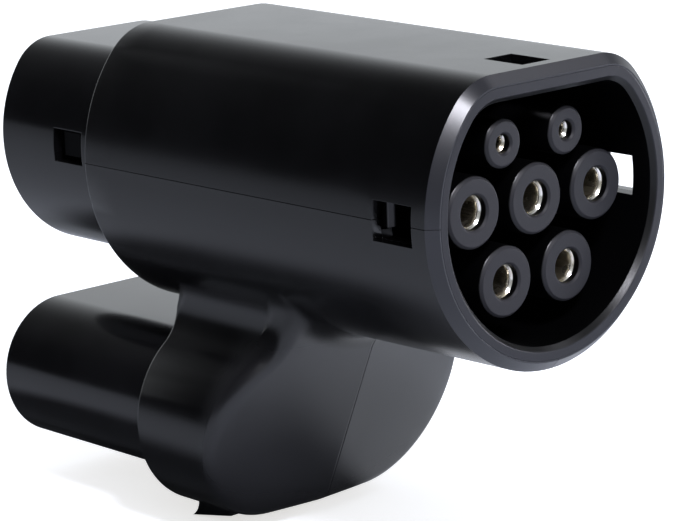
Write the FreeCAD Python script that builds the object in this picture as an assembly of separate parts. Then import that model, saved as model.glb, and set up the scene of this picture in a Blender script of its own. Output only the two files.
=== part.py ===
import FreeCAD, Part
import math
import os

# Charging adapter: a seven-contact vehicle connector in front, two pin blocks behind.
# Millimetres. The origin is the centre of the front rim plane, on the earth contact's axis.
# +Y runs from the front rim to the rear blocks, +Z is up, the flat of the D outline is on top.
V = FreeCAD.Vector
os.makedirs("parts", exist_ok=True)

# Contact pattern, shared by the front sockets and the rear pins.
row_pitch = 16.5
signal_x = 8.45
signal_z = 11.7
lower_x = 8.4
lower_z = -14.5

# Clearances.
slip = 0.3
fit_gap = 0.05
running_gap = 0.04
seam_gap = 0.1

# Tube of the housing: a circle with a flat top and rounded corners.
tube_corner_r = 13.5
shell_wall = 2.9
tube_length = 99.3
front_draft = 0.7
rim_bevel = 1.9
edge_round = 0.8
edge_bevel = 0.6
seam_z = 0.0
beyond = 20.0

# Matt ring and inner wall of the front shroud. The cavity clears the outer sleeves.
sleeve_space = 4.0
ring_wall = 2.65
ring_top_wall = 2.85
cavity_flat_z = 20.7
cavity_corner_r = 8.5
cavity_lead = 1.0
shroud_length = 46.0

# Windows for locking bolts: left and right flanks, and the top.
window_y = 5.4
window_length = 10.2
window_low_z = -3.9
window_high_z = 3.8
top_window_y = 4.5
top_window_length = 10.0
top_window_width = 7.4

# Sleeves and contact block.
sleeve_face_y = 4.9
power_sleeve_r = 6.9
signal_sleeve_r = 4.7
sleeve_lip = 1.7
sleeve_edge = 0.6
mouth_gap = 0.35
mouth_lead = 0.4
block_plate = 6.0
block_flange_length = 12.0
retainer_thickness = 3.0

# Contacts: pin sizes of the mating halves, and walls of the sockets.
power_pin_r = 3.0
signal_pin_r = 1.5
dc_pin_r = 4.0
power_socket_wall = 1.6
signal_socket_wall = 1.0
socket_depth = 24.0
power_socket_slots = 4
signal_socket_slots = 2
slot_width = 0.7
slot_start = 4.0
slot_length = 12.8
slot_turn = 45.0
socket_lead = 0.7

# Upper rear block, stepped in from the tube all round.
rear_step = 6.95
rear_top_step = 6.75
rear_corner_step = 2.7
rear_block_length = 36.6
block_flange = 3.0
block_flange_reach = 2.6
rear_power_hole_r = 7.3
rear_signal_hole_r = 5.1
rear_floor = 5.0
earth_tip_depth = 7.0
signal_tip_depth = 12.0
pin_point = 1.2
root_step = 0.4
collar_reach = 1.5
collar_length = 3.0

# Lower rear block and its two big pins.
dc_pitch = 27.0
dc_z = -51.9
dc_block_width = 57.5
dc_block_height = 30.0
dc_hole_r = 9.25
dc_floor = 6.0
dc_tip_depth = 8.0
dc_shoulder_r = 7.0
dc_shoulder = 3.2
dc_pin_point = 2.4
dc_flange_reach = 0.7

# Neck, collar and pod under the tube, and the bulb round the pod's front.
pod_rear_y = 87.0
pod_wall = 2.5
collar_r = 19.6
collar_x = 12.9
collar_z = -52.7
neck_fillet_r = 9.5
nose_top_y = 48.2
nose_top_z = -30.0
nose_slope = 0.43
nose_margin = 1.7
nose_depth = 3.5
nose_stations = 10
keel_slope = 0.07
bulb_r = 20.9
bulb_z = -51.0
bulb_rear_y = 57.8
bulb_rear_z = -30.0
bulb_rear_slope = 0.3
bulb_round = 3.0
bulb_setback = 2.0
pod_blend = 7.0

# Hooked feet under the collar, lowest at their rear tips.
foot_x = 17.3
foot_thickness = 3.0
foot_length = 12.0
foot_drop = 2.6
foot_rise = 2.2
foot_hollow = 1.6
foot_setback = 0.4
foot_root = 3.0

# Bus bars.
bar_thickness = 4.0
bar_inner_gap = 3.9
bar_outer_gap = 4.3
bar_top_gap = 5.5
bar_foot_gap = 8.0
bar_run_drop = 7.5
bar_bend_r = 2.0
bar_relief = 5.2
bar_relief_rise = 5.0
bar_relief_low = 12.0
stud_r = 2.0
stud_length = 8.0
stud_room = 1.0
bar_screw_head_r = 3.6
bar_screw_head = 2.6
bar_key_r = 1.5
bar_key_depth = 1.6
nut_corner_r = 5.6
nut_thickness = 4.5
tail_stud_r = 3.0
tail_spare = 1.5

# Lock lever: a rocker in the plane of the seam, from the left window to the rear notch.
lever_pivot_inset = 7.2
lever_pivot_setback = 6.0
lever_height = 5.1
lever_thickness = 1.9
lever_front_overlap = 1.7
lever_outer_inset = 3.3
lever_centre_rise = 0.85
lever_rear_inset = 5.45
lever_nose_inset = 1.15
lever_nose_gap = 0.8
lever_nose_bevel = 1.6
lever_arm_inset = 1.8
lever_arm = 2.2
lever_boss_r = 3.0
lever_boss_flat = 2.6
lever_taper = 10.0
lever_crank = 10.0
lever_pin_r = 1.5
lever_slot_gap = 0.5
lever_slot_lead = 1.0
pivot_seat = 5.0
spring_strip = 0.6
spring_height = 2.4
spring_leg = 5.0
notch_setback = 9.5
notch_length = 9.2
notch_low_z = -3.0
notch_high_z = 3.9
notch_skin = 1.0

# Screws of the two lower halves, placed from the rear of the pod and the collar's centre.
screw_r = 1.5
screw_head_r = 2.9
screw_head = 2.2
screw_sink = 0.4
screw_grip = 0.6
screw_tip_gap = 1.0
cross_width = 0.9
cross_reach = 3.6
cross_depth = 1.2
boss_r = 3.6
upper_screw_setback = 20.0
upper_screw_rise = 18.7
lower_screw_setback = 14.0
lower_screw_drop = 14.8

cavity_r = row_pitch + power_sleeve_r + sleeve_space
tube_r = cavity_r + ring_wall + fit_gap + shell_wall
tube_flat_z = cavity_flat_z + ring_top_wall + fit_gap + shell_wall
rear_block_r = tube_r - rear_step
rear_block_flat_z = tube_flat_z - rear_top_step
rear_block_corner_r = tube_corner_r - rear_corner_step
floor_y = shroud_length - block_plate
contact_flange_y = shroud_length
retainer_y = contact_flange_y + block_flange_length
bar_y = retainer_y + retainer_thickness
rear_flange_y = tube_length - shell_wall - block_flange
rear_end_y = tube_length + rear_block_length
dc_flange_y = pod_rear_y - pod_wall - block_flange
lower_bar_y = dc_flange_y - dc_shoulder - bar_thickness
nose_half_width = collar_x + bulb_r + nose_margin
foot_z = collar_z - collar_r - foot_drop
bar_inner_x = lower_x - bar_inner_gap
bar_wide_x = row_pitch + bar_outer_gap
bar_narrow_x = bar_wide_x - bar_relief
bar_run_z = lower_z - bar_run_drop
lever_pivot_x = lever_pivot_inset - tube_r
lever_pivot_y = contact_flange_y + lever_pivot_setback
lever_front_y = window_y + window_length - lever_front_overlap
lever_outer_x = lever_outer_inset - tube_r
lever_rear_x = lever_rear_inset - rear_block_r
lever_nose_x = lever_nose_inset - rear_block_r
lever_low_z = seam_z + lever_centre_rise - lever_height / 2
lever_high_z = lever_low_z + lever_height
spring_low_z = lever_low_z - spring_height
notch_y = tube_length + notch_setback
screw_places = [
    (pod_rear_y - upper_screw_setback, collar_z + upper_screw_rise),
    (pod_rear_y - lower_screw_setback, collar_z - lower_screw_drop),
]

power_places = {
    "power_socket_left": (-row_pitch, 0.0),
    "power_socket_right": (row_pitch, 0.0),
    "power_socket_lower_left": (-lower_x, lower_z),
    "power_socket_lower_right": (lower_x, lower_z),
}
signal_places = {
    "pilot": (-signal_x, signal_z),
    "proximity": (signal_x, signal_z),
}


def save(shape, node):
    """Write one piece to its own file."""
    shape.exportStep("parts/" + node + ".step")


def box(x0, x1, y0, y1, z0, z1):
    """Box between two corners."""
    return Part.makeBox(x1 - x0, y1 - y0, z1 - z0, V(x0, y0, z0))


def rod(radius, y0, y1, x=0.0, z=0.0):
    """Round bar along Y between two stations."""
    return Part.makeCylinder(radius, y1 - y0, V(x, y0, z), V(0, 1, 0))


def taper(r0, r1, y0, y1, x=0.0, z=0.0):
    """Cone along Y, radius r0 at y0 and r1 at y1."""
    return Part.makeCone(r0, r1, y1 - y0, V(x, y0, z), V(0, 1, 0))


def fuse_all(shapes):
    """One solid out of several that meet."""
    whole = shapes[0]
    for shape in shapes[1:]:
        whole = whole.fuse(shape)
    return whole.removeSplitter()


def d_face(radius, flat_z, corner_r, y):
    """Flat-topped circle in the plane at y, with rounded top corners."""
    reach = radius - corner_r
    corner_z = flat_z - corner_r
    corner_x = math.sqrt(reach ** 2 - corner_z ** 2)
    angle = math.atan2(corner_z, corner_x)
    middle = (angle + math.pi / 2) / 2
    side = (radius * math.cos(angle), radius * math.sin(angle))
    bend_x = corner_x + corner_r * math.cos(middle)
    bend_z = corner_z + corner_r * math.sin(middle)
    left_top = V(-corner_x, y, flat_z)
    right_top = V(corner_x, y, flat_z)
    left_side = V(-side[0], y, side[1])
    right_side = V(side[0], y, side[1])
    edges = [
        Part.LineSegment(left_top, right_top).toShape(),
        Part.Arc(right_top, V(bend_x, y, bend_z), right_side).toShape(),
        Part.Arc(right_side, V(0, y, -radius), left_side).toShape(),
        Part.Arc(left_side, V(-bend_x, y, bend_z), left_top).toShape(),
    ]
    return Part.Face(Part.Wire(edges))


def d_prism(radius, flat_z, corner_r, y0, y1):
    """Bar of the flat-topped outline from y0 to y1."""
    return d_face(radius, flat_z, corner_r, y0).extrude(V(0, y1 - y0, 0))


def tube_prism(offset, y0, y1):
    """The tube's outline, grown by an offset (negative goes inwards)."""
    return d_prism(tube_r + offset, tube_flat_z + offset, tube_corner_r + offset, y0, y1)


def tube_outside():
    """The tube's outer form: drafted a little slimmer in front, with a bevelled rim."""
    slim_r = tube_r - front_draft
    slim_flat_z = tube_flat_z - front_draft
    slim = d_face(slim_r, slim_flat_z, tube_corner_r - front_draft, 0)
    full = d_face(tube_r, tube_flat_z, tube_corner_r, tube_length)
    tube = Part.makeLoft([slim.OuterWire, full.OuterWire], True, True)
    return tube.makeChamfer(rim_bevel, edges_at(tube, 0))


def cavity_prism(offset, y0, y1):
    """The shroud's inner outline, grown by an offset."""
    return d_prism(cavity_r + offset, cavity_flat_z + offset, cavity_corner_r + offset, y0, y1)


def rear_prism(offset, y0, y1):
    """The upper rear block's outline, grown by an offset."""
    corner = rear_block_corner_r + offset
    return d_prism(rear_block_r + offset, rear_block_flat_z + offset, corner, y0, y1)


def stadium_prism(half_x, radius, z, y0, y1):
    """Bar of two half circles joined by straights, centred on x = 0."""
    parts = [rod(radius, y0, y1, -half_x, z), rod(radius, y0, y1, half_x, z)]
    parts.append(box(-half_x, half_x, y0, y1, z - radius, z + radius))
    return fuse_all(parts)


def dc_prism(offset, y0, y1):
    """The lower rear block's outline, grown by an offset."""
    radius = dc_block_height / 2 + offset
    return stadium_prism((dc_block_width - dc_block_height) / 2, radius, dc_z, y0, y1)


def edges_at(shape, y, tolerance=0.01):
    """Edges that lie wholly in the plane at y."""
    found = []
    for edge in shape.Edges:
        bounds = edge.BoundBox
        if abs(bounds.YMin - y) < tolerance and abs(bounds.YMax - y) < tolerance:
            found.append(edge)
    return found


def neck_prism(offset, lower_r, lower_z, y0, y1):
    """Web between tube and collar, its sides hollowed by an arc that touches both circles."""
    upper_r = tube_r - front_draft * (1 - nose_top_y / tube_length) + offset
    hollow_r = neck_fillet_r - offset
    reach_up = upper_r + hollow_r
    reach_down = lower_r + hollow_r
    gap = math.hypot(collar_x, lower_z)
    along = (reach_up ** 2 - reach_down ** 2 + gap ** 2) / (2 * gap)
    across = math.sqrt(reach_up ** 2 - along ** 2)
    ux = collar_x / gap
    uz = lower_z / gap
    centre_x = along * ux - across * uz
    centre_z = along * uz + across * ux
    top = (centre_x * upper_r / reach_up, centre_z * upper_r / reach_up)
    low_x = collar_x + (centre_x - collar_x) * lower_r / reach_down
    low_z = lower_z + (centre_z - lower_z) * lower_r / reach_down
    waist = (centre_x - hollow_r, centre_z)
    edges = [
        Part.Arc(V(top[0], y0, top[1]), V(waist[0], y0, waist[1]), V(low_x, y0, low_z)).toShape(),
        Part.LineSegment(V(low_x, y0, low_z), V(-low_x, y0, low_z)).toShape(),
        Part.Arc(V(-low_x, y0, low_z), V(-waist[0], y0, waist[1]), V(-top[0], y0, top[1])).toShape(),
        Part.LineSegment(V(-top[0], y0, top[1]), V(top[0], y0, top[1])).toShape(),
    ]
    return Part.Face(Part.Wire(edges)).extrude(V(0, y1 - y0, 0))


def nose_cutter(offset):
    """Leaning block whose front is a shallow dome with a keel, to trim the pod's front."""
    half = nose_half_width + offset
    low = collar_z - collar_r - 10
    high = 0.0
    front = nose_top_y + (nose_top_z - low) * nose_slope - offset * 1.1
    back = pod_rear_y + beyond
    points = []
    for step in range(nose_stations):
        share = math.sin(math.radians(90 * step / (nose_stations - 1)))
        x = half * share
        y = front + keel_slope * x + nose_depth * (1 - math.sqrt(1 - share ** 2))
        points.append(V(x, y, low))
    right = Part.BSplineCurve()
    right.interpolate(points)
    mirrored = [V(-point.x, point.y, point.z) for point in reversed(points)]
    left = Part.BSplineCurve()
    left.interpolate(mirrored)
    end = points[-1]
    edges = [
        right.toShape(),
        Part.LineSegment(end, V(end.x, back, low)).toShape(),
        Part.LineSegment(V(end.x, back, low), V(-end.x, back, low)).toShape(),
        Part.LineSegment(V(-end.x, back, low), V(-end.x, end.y, low)).toShape(),
        left.toShape(),
    ]
    rise = high - low
    return Part.Face(Part.Wire(edges)).extrude(V(0, -nose_slope * rise, rise))


def pod(offset, rear_y, setback=0.0):
    """Neck, collar and pod in one, trimmed by the leaning nose, which can be set back."""
    front_y = nose_top_y - beyond
    collar = stadium_prism(collar_x, collar_r + offset, collar_z, front_y, rear_y)
    neck = neck_prism(offset, collar_r + offset, collar_z, front_y, rear_y)
    body = collar.fuse(neck).removeSplitter()
    nose = nose_cutter(offset)
    nose.translate(V(0, setback, 0))
    return body.common(nose)


def bulb():
    """Swollen front of the pod: a grown outline between the nose and a leaning rear plane."""
    front_y = nose_top_y - beyond
    outline = stadium_prism(collar_x, bulb_r, bulb_z, front_y, pod_rear_y)
    neck = neck_prism(0, bulb_r, bulb_z, front_y, pod_rear_y)
    body = outline.fuse(neck).removeSplitter()
    body = body.common(nose_cutter(0))
    body = body.makeFillet(bulb_round, bulb_front_edges(body))
    low = bulb_z - bulb_r - 5
    rear_low_y = bulb_rear_y + bulb_rear_slope * (bulb_rear_z - low)
    rear_high_y = bulb_rear_y + bulb_rear_slope * bulb_rear_z
    outline = [V(0, 0, low), V(0, rear_low_y, low), V(0, rear_high_y, 0), V(0, 0, 0), V(0, 0, low)]
    slab = Part.Face(Part.makePolygon(outline)).extrude(V(2 * nose_half_width, 0, 0))
    slab.translate(V(-nose_half_width, 0, 0))
    return body.common(slab)


def bulb_front_edges(shape):
    """Edges between the leaning front and the sides and bottom, without the keel."""
    bottom_z = bulb_z - bulb_r
    found = []
    for edge in shape.Edges:
        bounds = edge.BoundBox
        leans = bounds.YLength > 0.5 and bounds.YMax < pod_rear_y - 1
        if leans and bounds.XLength > 1 and bounds.ZMin < bottom_z + 0.1:
            found.append(edge)
    return found


def blend_edges(shape):
    """Edges where the bulb's front runs into the underside of the tube."""
    found = []
    for edge in shape.Edges:
        bounds = edge.BoundBox
        in_front = nose_top_y - 4 < bounds.YMin and bounds.YMax < nose_top_y + 4
        if in_front and bounds.ZMax < -20 and bounds.XLength > 3:
            found.append(edge)
    return found


def housing_outside():
    """Outer form of the whole housing before it is hollowed and split."""
    tube = tube_outside()
    tube = tube.makeFillet(edge_round, edges_at(tube, tube_length))
    lower = pod(0, pod_rear_y, bulb_setback)
    lower = lower.makeFillet(edge_round, rear_edges(lower))
    whole = tube.fuse(lower.fuse(bulb()))
    return whole.makeFillet(pod_blend, blend_edges(whole))


def rear_edges(shape):
    """Outline of the collar's rear face, without the line hidden in the tube."""
    return [edge for edge in edges_at(shape, pod_rear_y) if edge.BoundBox.ZMax < -24]


def housing_inside():
    """Space inside the housing."""
    tube = tube_prism(-shell_wall, -1, tube_length - shell_wall)
    lower = pod(-pod_wall, pod_rear_y - pod_wall)
    return tube.fuse(lower)


def foot(side):
    """Hooked foot: a thin fin under the collar with a hollow rear edge."""
    x0 = side * foot_x - foot_thickness / 2
    top_z = collar_z - collar_r + foot_root
    rear = pod_rear_y - foot_setback
    front = rear - foot_length
    outline = [
        Part.LineSegment(V(x0, front, top_z), V(x0, front, foot_z + foot_rise)).toShape(),
        Part.LineSegment(V(x0, front, foot_z + foot_rise), V(x0, rear, foot_z)).toShape(),
        Part.Arc(V(x0, rear, foot_z), V(x0, rear - foot_hollow, foot_z + foot_hollow),
                 V(x0, rear - foot_hollow, top_z)).toShape(),
        Part.LineSegment(V(x0, rear - foot_hollow, top_z), V(x0, front, top_z)).toShape(),
    ]
    return Part.Face(Part.Wire(outline)).extrude(V(foot_thickness, 0, 0))


def windows():
    """Through cuts of the three locking windows."""
    y0 = window_y
    y1 = window_y + window_length
    reach = tube_r + 5
    flank = box(-reach, reach, y0, y1, window_low_z, window_high_z)
    half = top_window_width / 2
    top_y1 = top_window_y + top_window_length
    top = box(-half, half, top_window_y, top_y1, cavity_flat_z - 3, tube_flat_z + 5)
    return flank.fuse(top)


def screw_boss(side, y, z):
    """Boss on one half's inner wall for a screw along X, cut off at the outer wall later."""
    x0 = seam_gap if side > 0 else -tube_r
    x1 = tube_r if side > 0 else -seam_gap
    return Part.makeCylinder(boss_r, x1 - x0, V(x0, y, z), V(1, 0, 0))


def flank_x(y, z):
    """Outer half width of the pod at a screw, read from the neck and collar outlines."""
    probe = box(0, tube_r + 5, y - 0.1, y + 0.1, z - 0.1, z + 0.1).common(pod(0, pod_rear_y))
    return probe.BoundBox.XMax


def make_shells():
    """Upper cover and two lower halves."""
    outside = housing_outside()
    inside = housing_inside()
    wall = outside.cut(inside)
    wall = wall.cut(windows())
    wall = wall.cut(rear_prism(slip, rear_flange_y, tube_length + 1))
    wall = wall.cut(dc_prism(slip, dc_flange_y, pod_rear_y + 1))
    reach = tube_length + rear_block_length + beyond
    upper_side = box(-reach, reach, -reach, reach, seam_z + seam_gap / 2, reach)
    lower_side = box(-reach, reach, -reach, reach, -reach, seam_z - seam_gap / 2)
    save(wall.common(upper_side), "upper_shell")
    lower = wall.common(lower_side)
    for side, name in ((-1, "lower_shell_left"), (1, "lower_shell_right")):
        x0 = seam_gap / 2 if side > 0 else -reach
        x1 = reach if side > 0 else -seam_gap / 2
        half = lower.common(box(x0, x1, -reach, reach, -reach, reach))
        half = half.fuse(foot(side).cut(inside))
        for y, z in screw_places:
            half = half.fuse(screw_boss(side, y, z).common(inside))
        for y, z in screw_places:
            face_x = flank_x(y, z)
            seat_x = face_x - screw_head - screw_sink
            if side > 0:
                hole = Part.makeCylinder(screw_r + slip, tube_r, V(0, y, z), V(1, 0, 0))
                sink = Part.makeCylinder(screw_head_r + slip, tube_r, V(seat_x, y, z), V(1, 0, 0))
                half = half.cut(hole).cut(sink)
            else:
                depth = seat_x * screw_grip
                hole = Part.makeCylinder(screw_r + fit_gap, depth, V(-depth, y, z), V(1, 0, 0))
                half = half.cut(hole)
        save(half.removeSplitter(), name)


def make_housing_screws():
    """Pan-head screws that draw the lower halves together, entered from the right flank."""
    screws = []
    for y, z in screw_places:
        seat_x = flank_x(y, z) - screw_head - screw_sink
        tip_x = -seat_x * screw_grip + screw_tip_gap
        shank = Part.makeCylinder(screw_r, seat_x - tip_x, V(tip_x, y, z), V(1, 0, 0))
        screw = shank.fuse(Part.makeCylinder(screw_head_r, screw_head, V(seat_x, y, z), V(1, 0, 0)))
        top_x = seat_x + screw_head
        low_x = top_x - cross_depth
        for half_y, half_z in ((cross_width / 2, cross_reach / 2), (cross_reach / 2, cross_width / 2)):
            recess = box(low_x, top_x, y - half_y, y + half_y, z - half_z, z + half_z)
            screw = screw.cut(recess)
        screws.append(screw)
    save(Part.makeCompound(screws), "housing_screws")


def make_front_shroud():
    """Matt ring and inner wall in one moulding, open at both ends."""
    whole = tube_prism(-shell_wall - fit_gap, 0, shroud_length)
    cavity = cavity_prism(0, -1, shroud_length + 1)
    whole = whole.cut(cavity)
    whole = whole.makeChamfer(cavity_lead, inner_rim_edges(whole))
    whole = whole.cut(windows())
    slot_y = window_y + lever_slot_lead
    low = lever_low_z - lever_slot_gap
    high = lever_high_z + lever_slot_gap
    inner_x = sleeve_space - cavity_r
    whole = whole.cut(box(-tube_r, inner_x, slot_y, shroud_length + 1, low, high))
    save(whole, "front_shroud")


def inner_rim_edges(shape):
    """Front edges of the cavity's mouth."""
    found = []
    for edge in edges_at(shape, 0):
        bounds = edge.BoundBox
        if bounds.XMax < cavity_r + 0.1 and bounds.ZMax < cavity_flat_z + 0.1:
            found.append(edge)
    return found


def contact_sites():
    """Every contact: name, place, pin radius, socket wall and sleeve radius."""
    sites = [("earth_socket", (0.0, 0.0), power_pin_r, power_socket_wall, power_sleeve_r)]
    for name, place in power_places.items():
        sites.append((name, place, power_pin_r, power_socket_wall, power_sleeve_r))
    for name, place in signal_places.items():
        sites.append((name + "_socket", place, signal_pin_r, signal_socket_wall, signal_sleeve_r))
    return sites


def make_sleeves():
    """Insulating sleeves round the sockets, each with a lip in front that keeps its socket in."""
    power = []
    signal = []
    for name, (x, z), pin_r, wall, sleeve_r in contact_sites():
        mouth_r = pin_r + mouth_gap
        bore_y = sleeve_face_y + sleeve_lip
        lead_y = sleeve_face_y + mouth_lead
        sleeve = rod(sleeve_r, sleeve_face_y, floor_y, x, z)
        sleeve = sleeve.makeChamfer(sleeve_edge, edges_at(sleeve, sleeve_face_y))
        sleeve = sleeve.cut(taper(mouth_r + mouth_lead, mouth_r, sleeve_face_y, lead_y, x, z))
        sleeve = sleeve.cut(rod(mouth_r, sleeve_face_y, bore_y + 1, x, z))
        sleeve = sleeve.cut(rod(pin_r + wall + fit_gap, bore_y, floor_y + 1, x, z))
        group = signal if pin_r == signal_pin_r else power
        group.append(sleeve)
    save(Part.makeCompound(power), "power_sleeves")
    save(Part.makeCompound(signal), "signal_sleeves")


def make_contact_block():
    """Insulating block that carries the sleeves: plate behind the cavity, and rear flange."""
    plate = cavity_prism(-slip, floor_y, shroud_length)
    flange = tube_prism(-shell_wall - slip, contact_flange_y, retainer_y)
    block = plate.fuse(flange)
    for name, (x, z), pin_r, wall, sleeve_r in contact_sites():
        block = block.cut(rod(pin_r + wall + fit_gap, floor_y - 1, retainer_y + 1, x, z))
    low = spring_low_z - lever_slot_gap
    high = lever_high_z + lever_slot_gap
    inner_x = lever_pivot_x + lever_boss_r + lever_slot_gap
    block = block.cut(box(-tube_r, inner_x, floor_y - 1, retainer_y + 1, low, high))
    block = block.cut(pivot_rod(lever_pin_r + fit_gap, slip))
    save(block.removeSplitter(), "contact_block")


def pivot_rod(radius, spare):
    """Upright bar on the lever's pivot, let into the block above and below, with end clearance."""
    low = spring_low_z - lever_slot_gap - pivot_seat - spare
    high = lever_high_z + lever_slot_gap + pivot_seat + spare
    return Part.makeCylinder(radius, high - low, V(lever_pivot_x, lever_pivot_y, low))


def make_sockets():
    """Turned sockets: a slit tube with a flared mouth and a solid tail."""
    for name, (x, z), pin_r, wall, sleeve_r in contact_sites():
        front = sleeve_face_y + sleeve_lip
        outer_r = pin_r + wall
        bore_r = pin_r + running_gap
        body = rod(outer_r, front, bar_y, x, z)
        bore = rod(bore_r, front - 1, front + socket_depth, x, z)
        bore = bore.fuse(taper(bore_r + socket_lead, bore_r, front, front + socket_lead, x, z))
        body = body.cut(bore)
        slit_y = front + slot_start
        slit_end = slit_y + slot_length
        slots = signal_socket_slots if pin_r == signal_pin_r else power_socket_slots
        for index in range(slots):
            slit = box(0, outer_r + 1, slit_y, slit_end, -slot_width / 2, slot_width / 2)
            angle = slot_turn + index * 360 / slots
            slit.rotate(V(0, 0, 0), V(0, 1, 0), angle)
            slit.translate(V(x, 0, z))
            body = body.cut(slit)
        if name in power_places:
            body = body.cut(rod(stud_r, bar_y - stud_length - stud_room, bar_y + 1, x, z))
        save(body, name)


def make_contact_retainer():
    """Plate that keeps the sockets in their block."""
    plate = tube_prism(-shell_wall - slip, retainer_y, bar_y)
    for name, (x, z), pin_r, wall, sleeve_r in contact_sites():
        plate = plate.cut(rod(pin_r + wall + fit_gap, retainer_y - 1, bar_y + 1, x, z))
    low = lever_low_z - lever_slot_gap
    high = lever_high_z + lever_slot_gap
    inner_x = lever_pivot_x + lever_boss_r + lever_slot_gap
    plate = plate.cut(box(-tube_r, inner_x, retainer_y - 1, bar_y + 1, low, high))
    save(plate, "contact_retainer")


def bar_profile():
    """Side view of a bus bar: tab down, run back, tab down again."""
    t = bar_thickness
    top_z = bar_top_gap
    foot_end_z = dc_z - bar_foot_gap
    run_z = bar_run_z
    outline = [
        (bar_y, top_z), (bar_y + t, top_z), (bar_y + t, run_z),
        (lower_bar_y + t, run_z), (lower_bar_y + t, foot_end_z), (lower_bar_y, foot_end_z),
        (lower_bar_y, run_z - t), (bar_y, run_z - t),
    ]
    points = [V(0, y, z) for y, z in outline]
    points.append(points[0])
    return Part.Face(Part.makePolygon(points))


def bend_edges(shape):
    """Edges along X at the four corners of the two bends."""
    found = []
    t = bar_thickness
    corners = [
        (bar_y + t, bar_run_z, bar_bend_r), (bar_y, bar_run_z - t, bar_bend_r + t),
        (lower_bar_y + t, bar_run_z, bar_bend_r + t), (lower_bar_y, bar_run_z - t, bar_bend_r),
    ]
    for edge in shape.Edges:
        middle = edge.CenterOfMass
        for y, z, radius in corners:
            along_x = edge.BoundBox.XLength > 5
            if along_x and abs(middle.y - y) < 0.01 and abs(middle.z - z) < 0.01:
                found.append((edge, radius))
    return found


def make_bus_bars():
    """Copper straps, one a side: two front sockets to one big rear pin."""
    width = bar_wide_x - bar_inner_x
    for side, name in ((-1, "bus_bar_left"), (1, "bus_bar_right")):
        bar = bar_profile().extrude(V(width, 0, 0))
        bar.translate(V(bar_inner_x, 0, 0))
        for wanted in (bar_bend_r, bar_bend_r + bar_thickness):
            picked = [edge for edge, radius in bend_edges(bar) if radius == wanted]
            bar = bar.makeFillet(wanted, picked)
        relief_top = bar_run_z + bar_relief_rise
        relief_low = dc_z + bar_relief_low
        bar = bar.cut(box(bar_narrow_x, tube_r, bar_y - 1, tube_length, relief_low, relief_top))
        for x, z in ((row_pitch, 0.0), (lower_x, lower_z)):
            bar = bar.cut(rod(stud_r + slip, bar_y - 1, bar_y + bar_thickness + 1, x, z))
        hole = rod(tail_stud_r + slip, lower_bar_y - 1, lower_bar_y + bar_thickness + 1,
                   dc_pitch / 2, dc_z)
        bar = bar.cut(hole)
        if side < 0:
            bar = bar.mirror(V(0, 0, 0), V(1, 0, 0))
        save(bar, name)


def make_bus_bar_screws():
    """Socket-head screws that clamp the bars to the tails of the power sockets."""
    screws = []
    for x, z in power_places.values():
        seat = bar_y + bar_thickness
        shank = rod(stud_r - fit_gap, bar_y - stud_length, seat, x, z)
        top = seat + bar_screw_head
        head = rod(bar_screw_head_r, seat, top, x, z)
        key = rod(bar_key_r, top - bar_key_depth, top + 1, x, z)
        screws.append(shank.fuse(head).cut(key))
    save(Part.makeCompound(screws), "bus_bar_screws")


def make_rear_pin_block():
    """Upper rear block: three open holes, a captured flange, and the notch in its left side."""
    block = rear_prism(0, rear_flange_y, rear_end_y)
    block = block.makeChamfer(edge_bevel, edges_at(block, rear_end_y))
    flange = rear_prism(block_flange_reach, rear_flange_y, rear_flange_y + block_flange)
    block = block.fuse(flange).removeSplitter()
    floor = rear_flange_y + block_flange + rear_floor
    block = block.cut(rod(rear_power_hole_r, floor, rear_end_y + 1))
    block = block.cut(rod(power_pin_r + root_step + fit_gap, rear_flange_y - 1, floor + 1))
    for x, z in signal_places.values():
        block = block.cut(rod(rear_signal_hole_r, floor, rear_end_y + 1, x, z))
        root_r = signal_pin_r + root_step + fit_gap
        block = block.cut(rod(root_r, rear_flange_y - 1, floor + 1, x, z))
    inner_x = lever_rear_x + lever_thickness + lever_slot_gap
    skin_x = notch_skin - rear_block_r
    low = lever_low_z - lever_slot_gap
    high = lever_high_z + lever_slot_gap
    notch_end = notch_y + notch_length
    block = block.cut(box(skin_x, inner_x, rear_flange_y + block_flange, notch_end, low, high))
    mouth_x = -rear_block_r - block_flange_reach - 1
    block = block.cut(box(mouth_x, inner_x, rear_flange_y - 1, rear_flange_y + block_flange, low, high))
    block = block.cut(box(mouth_x, inner_x, notch_y, notch_end, notch_low_z, notch_high_z))
    save(block, "rear_pin_block")


def round_pin(radius, y0, root_end, y1, x, z, point):
    """Pin along Y: a thicker root up to root_end, then a plain shank with a rounded point."""
    shank = rod(radius, root_end - 1, y1, x, z)
    shank = shank.makeFillet(min(point, radius * 0.8), edges_at(shank, y1))
    return shank.fuse(rod(radius + root_step, y0, root_end, x, z))


def make_rear_pins():
    """Earth, pilot and proximity pins, each carried through to its front socket."""
    root_end = rear_flange_y + block_flange + rear_floor
    tip = rear_end_y - earth_tip_depth
    pin = round_pin(power_pin_r, bar_y, root_end, tip, 0, 0, pin_point)
    collar_y = rear_flange_y - collar_length
    save(pin.fuse(rod(power_pin_r + collar_reach, collar_y, rear_flange_y)), "earth_pin")
    for name, (x, z) in signal_places.items():
        tip = rear_end_y - signal_tip_depth
        pin = round_pin(signal_pin_r, bar_y, root_end, tip, x, z, pin_point)
        collar = rod(signal_pin_r + collar_reach, collar_y, rear_flange_y, x, z)
        save(pin.fuse(collar), name + "_pin")


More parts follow.
